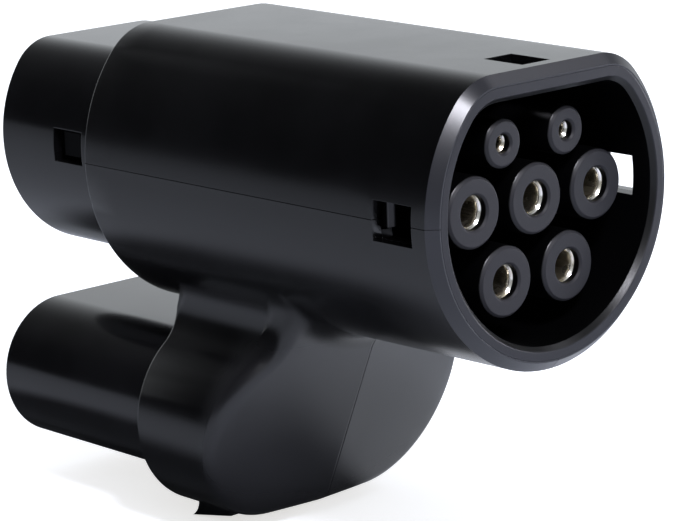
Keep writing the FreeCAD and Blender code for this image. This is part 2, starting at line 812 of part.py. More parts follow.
def make_dc_pin_block():
    """Lower rear block: two deep holes and a captured flange."""
    block = dc_prism(0, dc_flange_y, rear_end_y)
    block = block.makeChamfer(edge_bevel, edges_at(block, rear_end_y))
    flange = dc_prism(dc_flange_reach, dc_flange_y, dc_flange_y + block_flange)
    block = block.fuse(flange).removeSplitter()
    floor = pod_rear_y + dc_floor
    for x in (-dc_pitch / 2, dc_pitch / 2):
        block = block.cut(rod(dc_hole_r, floor, rear_end_y + 1, x, dc_z))
        block = block.cut(rod(dc_pin_r + root_step + fit_gap, dc_flange_y - 1, floor + 1, x, dc_z))
    save(block, "dc_pin_block")


def make_dc_pins():
    """Big pins with a shoulder, and a threaded tail through the bus bar."""
    tip = rear_end_y - dc_tip_depth
    root_end = pod_rear_y + dc_floor
    tail_end = lower_bar_y - nut_thickness - tail_spare
    for side, name in ((-1, "dc_pin_left"), (1, "dc_pin_right")):
        x = side * dc_pitch / 2
        shoulder_y = lower_bar_y + bar_thickness
        pin = round_pin(dc_pin_r, shoulder_y, root_end, tip, x, dc_z, dc_pin_point)
        shoulder = rod(dc_shoulder_r, shoulder_y, dc_flange_y, x, dc_z)
        tail = rod(tail_stud_r, tail_end, shoulder_y + 1, x, dc_z)
        save(fuse_all([pin, shoulder, tail]), name)


def make_dc_pin_nuts():
    """Hexagon nuts on the tails of the big pins."""
    nuts = []
    for side in (-1, 1):
        x = side * dc_pitch / 2
        corners = []
        for index in range(7):
            angle = math.radians(60 * index)
            dx = nut_corner_r * math.cos(angle)
            dz = nut_corner_r * math.sin(angle)
            corners.append(V(x + dx, lower_bar_y - nut_thickness, dc_z + dz))
        nut = Part.Face(Part.makePolygon(corners)).extrude(V(0, nut_thickness, 0))
        nuts.append(nut.cut(rod(tail_stud_r + fit_gap, 0, tube_length, x, dc_z)))
    save(Part.makeCompound(nuts), "dc_pin_nuts")


def make_lock_lever():
    """Rocker: thin front strip, boss on the pivot, cranked rear arm with a nose."""
    inner_x = lever_outer_x + lever_thickness
    arm_x = lever_pivot_x - lever_arm_inset
    arm_inner = arm_x + lever_arm
    rear_inner = lever_rear_x + lever_thickness
    crank_end = rear_flange_y
    crank_y = crank_end - lever_crank
    nose_y = notch_y + lever_nose_gap
    nose_end = notch_y + notch_length - lever_nose_gap
    bevel = lever_nose_bevel
    boss_x = lever_pivot_x + lever_boss_flat
    outline = [
        (lever_outer_x, lever_front_y), (inner_x, lever_front_y),
        (inner_x, lever_pivot_y - lever_taper), (boss_x, lever_pivot_y - lever_pin_r),
        (boss_x, lever_pivot_y + lever_pin_r), (arm_inner, lever_pivot_y + lever_taper / 2),
        (arm_inner, crank_y), (rear_inner, crank_end),
        (rear_inner, nose_end), (lever_nose_x + bevel, nose_end), (lever_nose_x, nose_end - bevel),
        (lever_nose_x, nose_y + bevel / 2), (lever_nose_x + bevel / 2, nose_y),
        (lever_rear_x, nose_y), (lever_rear_x, crank_end), (arm_x, crank_y),
        (arm_x, lever_pivot_y + lever_boss_r), (lever_outer_x, lever_pivot_y - lever_taper),
    ]
    points = [V(x, y, lever_low_z) for x, y in outline]
    points.append(points[0])
    lever = Part.Face(Part.makePolygon(points)).extrude(V(0, 0, lever_height))
    centre = V(lever_pivot_x, lever_pivot_y, lever_low_z)
    lever = lever.fuse(Part.makeCylinder(lever_boss_r, lever_height, centre))
    hole_r = lever_pin_r + running_gap
    lever = lever.cut(Part.makeCylinder(hole_r, lever_height, centre))
    save(lever.removeSplitter(), "lock_lever")


def make_lock_pivot():
    """Pin of the lever, held in the contact block above and below it."""
    save(pivot_rod(lever_pin_r, 0), "lock_pivot")


def make_lock_spring():
    """Hairpin strip round the pivot, under the lever: one leg on the lever, one on the block."""
    inner_r = lever_pin_r + slip
    outer_r = inner_r + spring_strip
    low = spring_low_z
    centre = V(lever_pivot_x, lever_pivot_y, low)
    strip = Part.makeCylinder(outer_r, spring_height, centre)
    strip = strip.cut(Part.makeCylinder(inner_r, spring_height, centre))
    front = lever_pivot_y - outer_r - 1
    reach = lever_pivot_x + outer_r + 1
    half = box(lever_pivot_x - outer_r - 1, reach, front, lever_pivot_y, low, low + spring_height)
    strip = strip.common(half)
    leg_end = lever_pivot_y + spring_leg
    for x0 in (lever_pivot_x - outer_r, lever_pivot_x + inner_r):
        leg = box(x0, x0 + spring_strip, lever_pivot_y, leg_end, low, low + spring_height)
        strip = strip.fuse(leg)
    save(strip.removeSplitter(), "lock_spring")


make_shells()
make_housing_screws()
make_front_shroud()
make_sleeves()
make_contact_block()
make_sockets()
make_contact_retainer()
make_bus_bars()
make_bus_bar_screws()
make_rear_pin_block()
make_rear_pins()
make_dc_pin_block()
make_dc_pins()
make_dc_pin_nuts()
make_lock_lever()
make_lock_pivot()
make_lock_spring()
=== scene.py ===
import math

import bpy
import numpy as np
from mathutils import Matrix, Vector


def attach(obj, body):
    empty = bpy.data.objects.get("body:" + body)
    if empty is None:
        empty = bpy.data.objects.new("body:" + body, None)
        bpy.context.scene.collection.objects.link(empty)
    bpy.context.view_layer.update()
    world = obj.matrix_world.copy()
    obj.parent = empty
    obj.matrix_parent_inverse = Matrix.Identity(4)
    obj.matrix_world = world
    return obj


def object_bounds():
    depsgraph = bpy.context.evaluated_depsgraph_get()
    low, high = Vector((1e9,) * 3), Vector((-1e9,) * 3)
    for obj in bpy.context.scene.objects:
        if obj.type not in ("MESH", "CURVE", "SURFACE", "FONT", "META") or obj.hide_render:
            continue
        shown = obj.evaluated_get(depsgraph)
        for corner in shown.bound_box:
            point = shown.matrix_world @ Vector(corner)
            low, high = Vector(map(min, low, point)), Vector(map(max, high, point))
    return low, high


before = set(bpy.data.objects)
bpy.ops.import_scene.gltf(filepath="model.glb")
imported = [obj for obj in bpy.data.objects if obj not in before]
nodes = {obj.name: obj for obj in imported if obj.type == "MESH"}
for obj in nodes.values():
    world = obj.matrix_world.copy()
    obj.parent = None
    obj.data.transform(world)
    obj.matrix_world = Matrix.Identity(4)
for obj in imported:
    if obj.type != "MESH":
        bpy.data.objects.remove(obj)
cad_low, cad_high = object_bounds()

# Camera: a long lens from the front left and a little above, level with the adapter's pose
# in the photograph. Nothing is shifted and nothing is out of focus.
camera_place = Vector((-0.41112, -0.38786, 0.12305))
camera_forward = Vector((0.65843, 0.71681, -0.22946)).normalized()
camera_right = Vector((0.73129, -0.68140, -0.03019))
camera_lens = 164.6
sensor_width = 36.0
camera_near = 0.01

camera_right = (camera_right - camera_forward * camera_right.dot(camera_forward)).normalized()
camera_up = camera_right.cross(camera_forward)
turn = Matrix((camera_right, camera_up, -camera_forward)).transposed()
camera = bpy.data.objects.new("camera", bpy.data.cameras.new("camera"))
camera.data.lens = camera_lens
camera.data.sensor_width = sensor_width
camera.data.clip_start = camera_near
camera.matrix_world = Matrix.Translation(camera_place) @ turn.to_4x4()
bpy.context.scene.collection.objects.link(camera)
bpy.context.scene.camera = camera
bpy.context.scene.view_settings.view_transform = "Standard"

# Floor: a wide white sheet under the feet. Seen directly it gets a little light of its own, so
# it runs into the white background and still keeps the adapter's shadow. Glossy surfaces see it
# shaded under the adapter and lit only near it, which is what the housing's bands mirror.
floor_reach = 4.0
floor_gap = 0.0002
floor_colour = (0.76, 0.80, 0.88, 1.0)
no_light = (0.0, 0.0, 0.0, 1.0)
glow_colour = (0.90, 0.93, 1.0, 1.0)
floor_glow = 0.68
seen_colour = (1.0, 0.985, 0.955, 1.0)
mirrored_glow = 1.0
front_glow_edge = (0.012, 0.030)
rear_glow_edge = (0.110, 0.080)
right_glow_edge = (-0.040, 0.030)
near_glow_edge = (0.30, 0.18)
shade_line = (0.098, 0.140)
shade_edge = (0.042, 0.070)
shade_depth = 0.10
right_stretch = 3.0
rear_edge = (0.005, 0.060)
rear_part = 0.62
left_edge = (-0.010, -0.080)
left_front = (0.04, -0.02)
left_part = 0.70


def flat_sheet(name, reach, height):
    """Square in the plane at a height: corners at plus and minus reach in x and y."""
    corner = np.array([[-1, -1], [1, -1], [1, 1], [-1, 1]], float) * reach
    points = np.column_stack([corner, np.full(4, height)])
    mesh = bpy.data.meshes.new(name)
    mesh.from_pydata(points.tolist(), [], [(0, 1, 2, 3)])
    sheet = bpy.data.objects.new(name, mesh)
    bpy.context.scene.collection.objects.link(sheet)
    return sheet


def node_material(name):
    """Empty node material, with its tree and its output node."""
    material = bpy.data.materials.new(name)
    material.use_nodes = True
    tree = material.node_tree
    tree.nodes.clear()
    return material, tree, tree.nodes.new("ShaderNodeOutputMaterial")


def feed(tree, socket, value):
    """Links a socket to another one, or sets it to a plain number or colour."""
    if isinstance(value, (float, tuple)):
        socket.default_value = value
    else:
        tree.links.new(value, socket)


def ramp(tree, value, start, end):
    """Smooth step of a value: 0 at start, 1 at end."""
    step = tree.nodes.new("ShaderNodeMapRange")
    step.interpolation_type = "SMOOTHSTEP"
    step.inputs["From Min"].default_value = start
    step.inputs["From Max"].default_value = end
    tree.links.new(value, step.inputs["Value"])
    return step.outputs["Result"]


def calculate(tree, operation, first, second=0.0):
    """Arithmetic on one or two inputs, each a socket or a plain number."""
    step = tree.nodes.new("ShaderNodeMath")
    step.operation = operation
    feed(tree, step.inputs[0], first)
    feed(tree, step.inputs[1], second)
    return step.outputs["Value"]


def product(tree, first, *others):
    """Masks and plain numbers multiplied together."""
    for other in others:
        first = calculate(tree, "MULTIPLY", first, other)
    return first


def dimmed(tree, light, mask, part):
    """Light that falls to a part of itself where the mask is 1."""
    fall = calculate(tree, "ADD", product(tree, mask, part - 1.0), 1.0)
    return product(tree, light, fall)


def mixed(tree, mask, first, second):
    """First where the mask is 0, second where it is 1: colours if either is given as one."""
    layer = tree.nodes.new("ShaderNodeMix")
    low, high, result = layer.inputs["A"], layer.inputs["B"], layer.outputs["Result"]
    if isinstance(first, tuple) or isinstance(second, tuple):
        layer.data_type = "RGBA"
        low, high, result = layer.inputs[6], layer.inputs[7], layer.outputs[2]
    feed(tree, low, first)
    feed(tree, high, second)
    tree.links.new(mask, layer.inputs["Factor"])
    return result


floor = flat_sheet("floor", floor_reach, cad_low.z - floor_gap)
white_floor, tree, output = node_material("white_floor")
path = tree.nodes.new("ShaderNodeLightPath")
camera_ray, glossy_ray = path.outputs["Is Camera Ray"], path.outputs["Is Glossy Ray"]
place = tree.nodes.new("ShaderNodeTexCoord")
split = tree.nodes.new("ShaderNodeSeparateXYZ")
tree.links.new(place.outputs["Object"], split.inputs["Vector"])
x, y = split.outputs["X"], split.outputs["Y"]

# The shade that glossy surfaces see is a capsule along Y, narrower on its right. They also see
# the floor darker from the adapter's middle to the rear, and at its front left.
nearest = calculate(tree, "MAXIMUM", calculate(tree, "MINIMUM", y, shade_line[1]), shade_line[0])
along = calculate(tree, "SUBTRACT", y, nearest)
across = calculate(tree, "MAXIMUM", product(tree, x, right_stretch), x)
away = calculate(tree, "ADD", product(tree, across, across), product(tree, along, along))
away = calculate(tree, "SQRT", away)
clear = calculate(tree, "MAXIMUM", ramp(tree, away, *shade_edge), shade_depth)
clear = dimmed(tree, clear, ramp(tree, y, *rear_edge), rear_part)
left = product(tree, ramp(tree, x, *left_edge), ramp(tree, y, *left_front))
clear = dimmed(tree, clear, left, left_part)

tint = mixed(tree, mixed(tree, glossy_ray, 1.0, clear), no_light, floor_colour)
matt = tree.nodes.new("ShaderNodeBsdfDiffuse")
tree.links.new(tint, matt.inputs["Color"])
seen = product(tree, camera_ray, floor_glow)
mirrored = product(
    tree, glossy_ray, mirrored_glow, clear,
    ramp(tree, y, *front_glow_edge), ramp(tree, y, *rear_glow_edge),
    ramp(tree, x, *right_glow_edge), ramp(tree, away, *near_glow_edge))
glow = tree.nodes.new("ShaderNodeEmission")
tree.links.new(mixed(tree, camera_ray, glow_colour, seen_colour), glow.inputs["Color"])
tree.links.new(calculate(tree, "ADD", seen, mirrored), glow.inputs["Strength"])
both = tree.nodes.new("ShaderNodeAddShader")
tree.links.new(matt.outputs["BSDF"], both.inputs[0])
tree.links.new(glow.outputs["Emission"], both.inputs[1])
tree.links.new(both.outputs["Shader"], output.inputs["Surface"])
floor.data.materials.append(white_floor)

# Studio: an even grey room for matt surfaces, and three soft lamps. Glossy surfaces see a white
# backdrop behind the adapter, low and wide, a dimmer wall in front of it, and near darkness
# elsewhere, which is what draws the bands on the tube.
room_light = 0.62
room_tint = (0.95, 0.97, 1.0, 1.0)
backdrop_tint = (0.92, 0.96, 1.0, 1.0)
backdrop_light = 1.0
ceiling_light = 0.008
backdrop_heading = (0.676, 0.737, 0.0)
backdrop_edge = (0.20, 0.90)
backdrop_top = (0.82, 0.24)
front_heading = (0.30, -0.954, 0.0)
front_edge = (0.25, 0.75)
front_light = 0.75
seen_white = (1.0, 1.0, 1.0, 1.0)
seen_light = 1.0
lamp_tint = (0.91, 0.91, 1.0)
middle = (cad_low + cad_high) / 2


def facing(tree, ray, heading):
    """How much a ray points along a heading: the cosine of the angle between them."""
    step = tree.nodes.new("ShaderNodeVectorMath")
    step.operation = "DOT_PRODUCT"
    step.inputs[1].default_value = heading
    tree.links.new(ray, step.inputs[0])
    return step.outputs["Value"]


world = bpy.data.worlds.new("studio")
bpy.context.scene.world = world
world.use_nodes = True
tree = world.node_tree
tree.nodes.clear()
output = tree.nodes.new("ShaderNodeOutputWorld")
path = tree.nodes.new("ShaderNodeLightPath")
camera_ray, glossy_ray = path.outputs["Is Camera Ray"], path.outputs["Is Glossy Ray"]
ray = tree.nodes.new("ShaderNodeTexCoord").outputs["Generated"]
split = tree.nodes.new("ShaderNodeSeparateXYZ")
tree.links.new(ray, split.inputs["Vector"])
behind = ramp(tree, facing(tree, ray, backdrop_heading), *backdrop_edge)
near_ground = ramp(tree, split.outputs["Z"], *backdrop_top)
backdrop = product(tree, behind, near_ground, backdrop_light)
front = product(tree, ramp(tree, facing(tree, ray, front_heading), *front_edge), front_light)
gloss = calculate(tree, "MAXIMUM", calculate(tree, "MAXIMUM", backdrop, front), ceiling_light)
strength = mixed(tree, camera_ray, mixed(tree, glossy_ray, room_light, gloss), seen_light)
colour = mixed(tree, camera_ray, mixed(tree, glossy_ray, room_tint, backdrop_tint), seen_white)
sky = tree.nodes.new("ShaderNodeBackground")
tree.links.new(colour, sky.inputs["Color"])
tree.links.new(strength, sky.inputs["Strength"])
tree.links.new(sky.outputs["Background"], output.inputs["Surface"])


def soft_lamp(name, place, size, power):
    """Rectangular lamp at a place, facing the middle of the adapter."""
    lamp = bpy.data.objects.new(name, bpy.data.lights.new(name, "AREA"))
    lamp.data.shape = "RECTANGLE"
    lamp.data.size, lamp.data.size_y = size
    lamp.data.energy = power
    lamp.data.color = lamp_tint
    lamp.location = place
    lamp.rotation_euler = (middle - Vector(place)).to_track_quat("-Z", "Y").to_euler()
    bpy.context.scene.collection.objects.link(lamp)


soft_lamp("overhead_lamp", place=(-0.27, -0.57, 0.70), size=(0.18, 0.18), power=10.0)
soft_lamp("side_lamp", place=(0.58, -0.22, 0.62), size=(0.24, 0.24), power=0.4)
soft_lamp("low_lamp", place=(0.55, -0.14, 0.02), size=(0.24, 0.12), power=1.6)

# Housing: an upper cover and two lower halves, injection moulded in one satin black plastic and
# bonded along the flank seam and the keel line. The tool's fine spark texture leaves a faint
# grain on the gloss.
housing_black = (0.0010, 0.0010, 0.0012, 1.0)
housing_haze = (0.0020, 0.0020, 0.0024, 1.0)
housing_sheen = (0.215, 0.24)
housing_grain = (0.00022, 0.00001)
grain_detail = 2.0
grain_strength = 0.5
haze_scale = 38.0
haze_detail = 5.0
haze_breakup = 0.62
haze_edge = (0.34, 0.68)
plastic_edge = 0.00025
edge_samples = 6
sharp_angle = math.radians(32.0)
join_distance = 0.000002
pod_line = (-0.026, -0.040)
pod_front = (0.069, 0.062)
# Painted light: the pod's and the keel's lighter greys stand in for light from the floor and
# front.
pod_painted_light = (0.007, 0.007, 0.008, 1.0)
pod_sheen = 0.32
pod_keel = (-0.040, -0.070)
keel_painted_light = (0.015, 0.015, 0.017, 1.0)
fine_edge = 0.00013
pod_edge = 0.0005
neck_edge = 0.0030
neck_low = (-0.034, -0.029)
neck_high = (-0.015, -0.021)
neck_front = (0.040, 0.048)
step_foot = 0.0471
step_lean = -0.333
step_width = (0.0016, 0.00224)
step_top = (-0.031, -0.028)
rim_back = (0.0017, 0.0022)
rim_edge_part = 0.3
window_depth = (0.0320, 0.0318)
window_front = (0.0044, 0.0050)
window_rear = (0.0166, 0.0160)
window_height = (0.0044, 0.0041)
window_sheen = 0.12
rim_line = (0.00205, 0.00190)
rim_grey = (0.0080, 0.0082, 0.0115, 1.0)
rim_sheen = 0.31


def rounded_shading(piece):
    """Joins a node's loose triangles for shading and keeps its sharp edges."""
    mesh = piece.data
    mesh.polygons.foreach_set("use_smooth", np.ones(len(mesh.polygons), bool))
    weld = piece.modifiers.new("joined", "WELD")
    weld.merge_threshold = join_distance
    edges = piece.modifiers.new("edges", "EDGE_SPLIT")
    edges.split_angle = sharp_angle
    edges.use_edge_sharp = False


def finish_node(name, material):
    """Gives a node its material in every slot, and rounded shading."""
    piece = nodes[name]
    piece.data.materials.clear()
    piece.data.materials.append(material)
    rounded_shading(piece)


def mask_group(name, inputs, outputs):
    """Empty group of number sockets, the inputs with their defaults, and its two end nodes."""
    group = bpy.data.node_groups.new(name, "ShaderNodeTree")
    for socket, value in inputs:
        group.interface.new_socket(
            socket, in_out="INPUT", socket_type="NodeSocketFloat").default_value = value
    for socket in outputs:
        group.interface.new_socket(socket, in_out="OUTPUT", socket_type="NodeSocketFloat")
    return group, group.nodes.new("NodeGroupInput"), group.nodes.new("NodeGroupOutput")


def noise(tree, place, scale, detail, breakup=0.5):
    """Soft noise from 0 to 1, with finer noise laid over it."""
    cloud = tree.nodes.new("ShaderNodeTexNoise")
    tree.links.new(place, cloud.inputs["Vector"])
    feed(tree, cloud.inputs["Scale"], scale)
    cloud.inputs["Detail"].default_value = detail
    cloud.inputs["Roughness"].default_value = breakup
    return cloud.outputs["Fac"]


def between(tree, mask, low, high):
    """Straight line from low, where the mask is 0, to high, where it is 1."""
    span = tree.nodes.new("ShaderNodeMapRange")
    tree.links.new(mask, span.inputs["Value"])
    tree.links.new(low, span.inputs["To Min"])
    tree.links.new(high, span.inputs["To Max"])
    return span.outputs["Result"]


def surface_group():
    """Group: fine grain height, cloudy haze mask and a roughness between two values."""
    group, given, result = mask_group(
        "moulded_surface",
        (("Grain Size", housing_grain[0]), ("Low Roughness", housing_sheen[0]),
         ("High Roughness", housing_sheen[1])),
        ("Grain", "Haze", "Roughness"))
    place = group.nodes.new("ShaderNodeTexCoord").outputs["Object"]
    fineness = calculate(group, "DIVIDE", 1.0, given.outputs["Grain Size"])
    grain = noise(group, place, fineness, grain_detail)
    haze = ramp(group, noise(group, place, haze_scale, haze_detail, haze_breakup), *haze_edge)
    rough = between(
        group, haze, given.outputs["Low Roughness"], given.outputs["High Roughness"])
    group.links.new(grain, result.inputs["Grain"])
    group.links.new(haze, result.inputs["Haze"])
    group.links.new(rough, result.inputs["Roughness"])
    return group


moulded_surface = surface_group()


def moulded_plastic(name, colour, haze_colour, sheen, grain, edge=plastic_edge):
    """Moulded plastic: haze between two tones and two roughnesses, grain and soft edges.

    Sheen is the lowest and highest roughness, and grain is its size and its depth.
    """
    material, tree, output = node_material(name)
    surface = tree.nodes.new("ShaderNodeGroup")
    surface.node_tree = moulded_surface
    surface.inputs["Grain Size"].default_value = grain[0]
    surface.inputs["Low Roughness"].default_value = sheen[0]
    surface.inputs["High Roughness"].default_value = sheen[1]
    soft = tree.nodes.new("ShaderNodeBevel")
    soft.samples = edge_samples
    soft.inputs["Radius"].default_value = edge
    bump = tree.nodes.new("ShaderNodeBump")
    bump.inputs["Strength"].default_value = grain_strength
    bump.inputs["Distance"].default_value = grain[1]
    tree.links.new(surface.outputs["Grain"], bump.inputs["Height"])
    tree.links.new(soft.outputs["Normal"], bump.inputs["Normal"])
    shader = tree.nodes.new("ShaderNodeBsdfPrincipled")
    tone = mixed(tree, surface.outputs["Haze"], colour, haze_colour)
    tree.links.new(tone, shader.inputs["Base Color"])
    tree.links.new(surface.outputs["Roughness"], shader.inputs["Roughness"])
    tree.links.new(bump.outputs["Normal"], shader.inputs["Normal"])
    tree.links.new(shader.outputs["BSDF"], output.inputs["Surface"])
    return material


def coordinate(tree, axis):
    """The object's own X, Y or Z at the shaded point, in metres."""
    place = tree.nodes.new("ShaderNodeTexCoord")
    split = tree.nodes.new("ShaderNodeSeparateXYZ")
    tree.links.new(place.outputs["Object"], split.inputs["Vector"])
    return split.outputs[axis]


def overlay(tree, socket, mask, value):
    """Lays a colour or a number over what feeds a socket, where the mask is 1."""
    tree.links.new(mixed(tree, mask, socket.links[0].from_socket, value), socket)


housing = moulded_plastic(
    "satin_black_housing", housing_black, housing_haze, housing_sheen, housing_grain)
tree = housing.node_tree
shader, soft = tree.nodes["Principled BSDF"], tree.nodes["Bevel"]
x, y, z = (coordinate(tree, axis) for axis in "XYZ")

# Pod: duller than the tube, and painted a lighter grey that stands in for light from the floor
# and
# front, most of all down towards its keel: painted light.
low_down = ramp(tree, z, *pod_line)
pod = product(tree, low_down, ramp(tree, y, *pod_front))
overlay(tree, shader.inputs["Base Color"], pod, pod_painted_light)
overlay(tree, shader.inputs["Roughness"], pod, pod_sheen)
keel = product(tree, ramp(tree, z, *pod_keel), pod)
overlay(tree, shader.inputs["Base Color"], keel, keel_painted_light)

# Edges: rounded widely where the neck meets the tube, less on the pod and finely elsewhere. They
# stay crisp along the pod's leaning step, and are finest at the rim.
neck = product(
    tree, ramp(tree, z, *neck_low), ramp(tree, z, *neck_high), ramp(tree, y, *neck_front))
wide, narrow = product(tree, neck, neck_edge), product(tree, low_down, pod_edge)
round_off = calculate(tree, "MAXIMUM", calculate(tree, "MAXIMUM", wide, narrow), fine_edge)
step_place = calculate(tree, "ADD", product(tree, z, step_lean), step_foot)
from_step = calculate(tree, "ABSOLUTE", calculate(tree, "SUBTRACT", y, step_place))
off_step = ramp(tree, from_step, *step_width)
off_step = calculate(tree, "MAXIMUM", off_step, ramp(tree, z, *step_top))
rim_part = product(tree, ramp(tree, y, *rim_back), 1.0 - rim_edge_part)
rim_part = calculate(tree, "ADD", rim_part, rim_edge_part)
tree.links.new(product(tree, round_off, off_step, rim_part), soft.inputs["Radius"])

# Windows: the side slots' walls are glossy, so that they mirror the dark inside.
sideways, upright = calculate(tree, "ABSOLUTE", x), calculate(tree, "ABSOLUTE", z)
window = product(
    tree, ramp(tree, sideways, *window_depth), ramp(tree, y, *window_front),
    ramp(tree, y, *window_rear), ramp(tree, upright, *window_height))
overlay(tree, shader.inputs["Base Color"], window, housing_black)
overlay(tree, shader.inputs["Roughness"], window, window_sheen)

# Rim: the bevelled front edge is greyer and duller.
rim = ramp(tree, y, *rim_line)
overlay(tree, shader.inputs["Base Color"], rim, rim_grey)
overlay(tree, shader.inputs["Roughness"], rim, rim_sheen)
for name in ("upper_shell", "lower_shell_left", "lower_shell_right"):
    finish_node(name, housing)

# Bond lines: black adhesive films that close the joints between the housing's three mouldings.
# Each ends a quarter of a millimetre under the outside, so a joint still shows as a fine groove.
bond_black = (0.0008, 0.0008, 0.0010, 1.0)
bond_haze = (0.0016, 0.0016, 0.0020, 1.0)
bond_sheen = (0.50, 0.62)
bond_grain = (0.0004, 0.00001)
bond_recess = 0.00025
bond_thickness = 0.000096
joint_half = 0.00005
mating_reach = 0.000002
mating_decimals = 7
least_area = 1e-12
least_length = 1e-9
least_cosine = 0.5
bond_film = moulded_plastic("black_bond", bond_black, bond_haze, bond_sheen, bond_grain)


def bond_line(name, node, axis, level):
    """Film in a joint: a node's mating face at a level on an axis, drawn in from its outline.

    An outline point p goes to p - recess * n / max(n . m, 0.5), where m are the outward normals
    of its two outline edges and n is the unit vector of their sum.
    """
    mesh = nodes[node].data
    mesh.calc_loop_triangles()
    points = np.empty(len(mesh.vertices) * 3, np.float32)
    mesh.vertices.foreach_get("co", points)
    corners = np.empty(len(mesh.loop_triangles) * 3, np.int32)
    mesh.loop_triangles.foreach_get("vertices", corners)
    triangles = points.reshape(-1, 3)[corners.reshape(-1, 3)].astype(float)
    mating = (np.abs(triangles[:, :, axis] - level) < mating_reach).all(axis=1)
    points, index = np.unique(
        triangles[mating].reshape(-1, 3).round(mating_decimals), axis=0, return_inverse=True)
    faces = index.reshape(-1, 3)
    plane = [number for number in range(3) if number != axis]
    flat = points[:, plane]
    first, second = flat[faces[:, 1]] - flat[faces[:, 0]], flat[faces[:, 2]] - flat[faces[:, 0]]
    area = first[:, 0] * second[:, 1] - first[:, 1] * second[:, 0]
    faces = np.where(area[:, None] < 0, faces[:, ::-1], faces)[np.abs(area) > least_area]
    edges = np.concatenate([faces[:, [0, 1]], faces[:, [1, 2]], faces[:, [2, 0]]])
    count = len(points)
    inner = np.isin(edges[:, 0] * count + edges[:, 1], edges[:, 1] * count + edges[:, 0])
    outline = edges[~inner]
    along = flat[outline[:, 1]] - flat[outline[:, 0]]
    outward = np.column_stack([along[:, 1], -along[:, 0]])
    outward /= np.linalg.norm(outward, axis=1)[:, None]
    total = np.zeros_like(flat)
    np.add.at(total, outline[:, 0], outward)
    np.add.at(total, outline[:, 1], outward)
    length = np.maximum(np.linalg.norm(total, axis=1), least_length)[:, None]
    flat = flat - bond_recess * total / length / np.maximum(length / 2, least_cosine)
    points = np.zeros((count, 3))
    points[:, plane] = flat
    mesh = bpy.data.meshes.new(name)
    mesh.from_pydata(points.tolist(), [], faces.tolist())
    film = bpy.data.objects.new(name, mesh)
    bpy.context.scene.collection.objects.link(film)
    sheet = film.modifiers.new("film", "SOLIDIFY")
    sheet.thickness = bond_thickness
    sheet.offset = 0.0
    film.data.materials.append(bond_film)
    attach(film, "housing")


bond_line("keel_bond_line", "lower_shell_left", 0, -joint_half)
bond_line("flank_bond_line", "upper_shell", 2, joint_half)

# Front shroud: a separate matt ring with a coarse spark texture, pushed into the housing's mouth.
# Its inner wall is the D-shaped cavity that the vehicle's inlet slides into.
ring_grey = (0.0078, 0.0078, 0.0108, 1.0)
ring_haze = (0.0100, 0.0100, 0.0135, 1.0)
ring_sheen = (0.36, 0.44)
ring_grain = (0.0003, 0.00003)
wall_line = (0.00005, 0.00025)
# Painted shade: near-black for surfaces deep in the housing, behind the front faces.
painted_shade_black = (0.0006, 0.0006, 0.0008, 1.0)
wall_sheen = 0.30
dull_index = 1.36
matt_ring = moulded_plastic("matt_grey_ring", ring_grey, ring_haze, ring_sheen, ring_grain)
tree = matt_ring.node_tree
shader = tree.nodes["Principled BSDF"]
shader.inputs["IOR"].default_value = dull_index
# Painted shade: behind its front face the inner wall is coloured near-black, for the cavity's
# dark.
wall = ramp(tree, coordinate(tree, "Y"), *wall_line)
overlay(tree, shader.inputs["Base Color"], wall, painted_shade_black)
overlay(tree, shader.inputs["Roughness"], wall, wall_sheen)
finish_node("front_shroud", matt_ring)

# Contact block: glass-filled plastic with seven sleeves round the contacts, and the plate
# behind it that keeps the contacts in place. Their faces are even and dull.
block_grey = (0.0105, 0.0102, 0.0130, 1.0)
block_haze = (0.0135, 0.0132, 0.0165, 1.0)
block_sheen = (0.52, 0.62)
block_grain = (0.00025, 0.00002)
block_edge = 0.0003
face_line = (0.0053, 0.0054)
plate_grey = (0.11, 0.11, 0.115, 1.0)
plate_haze = (0.13, 0.13, 0.135, 1.0)
plate_sheen = (0.45, 0.55)
plate_grain = (0.0003, 0.00002)
block_plastic = moulded_plastic(
    "dull_grey_block", block_grey, block_haze, block_sheen, block_grain, block_edge)
tree = block_plastic.node_tree
shader = tree.nodes["Principled BSDF"]
shader.inputs["IOR"].default_value = dull_index
# Painted shade: behind the sleeves' end faces everything is coloured near-black, for the cavity's
# dark.
deep = ramp(tree, coordinate(tree, "Y"), *face_line)
overlay(tree, shader.inputs["Base Color"], deep, painted_shade_black)
overlay(tree, shader.inputs["Roughness"], deep, wall_sheen)
for name in ("contact_block", "power_sleeves", "signal_sleeves"):
    finish_node(name, block_plastic)
plate_plastic = moulded_plastic(
    "plain_grey_plate", plate_grey, plate_haze, plate_sheen, plate_grain)
finish_node("contact_retainer", plate_plastic)

# Rear pin blocks: glossier black plastic, because the charging plug's seals slide over them.
# The upper one is D-shaped with a notch for the lever's nose, the lower one is a stadium.
rear_black = (0.0022, 0.0022, 0.0025, 1.0)
rear_haze = (0.0036, 0.0036, 0.0042, 1.0)
rear_sheen = (0.155, 0.185)
rear_grain = (0.0003, 0.000005)
rear_plastic = moulded_plastic(
    "gloss_black_blocks", rear_black, rear_haze, rear_sheen, rear_grain)
for name in ("rear_pin_block", "dc_pin_block"):
    finish_node(name, rear_plastic)

# Contacts: turned from copper alloy and silver plated, with the lathe's faint rings and the
# warm yellow tarnish that silver takes on where pins rub.
silver = (0.86, 0.84, 0.78, 1.0)
silver_tarnish = (0.62, 0.56, 0.42, 1.0)
silver_sheen = (0.16, 0.30)
silver_rings = (0.00035, 0.00001)
rings_detail = 3.0
rings_strength = 0.4
tarnish_scale = 260.0
tarnish_detail = 4.0
tarnish_edge = (0.42, 0.66)


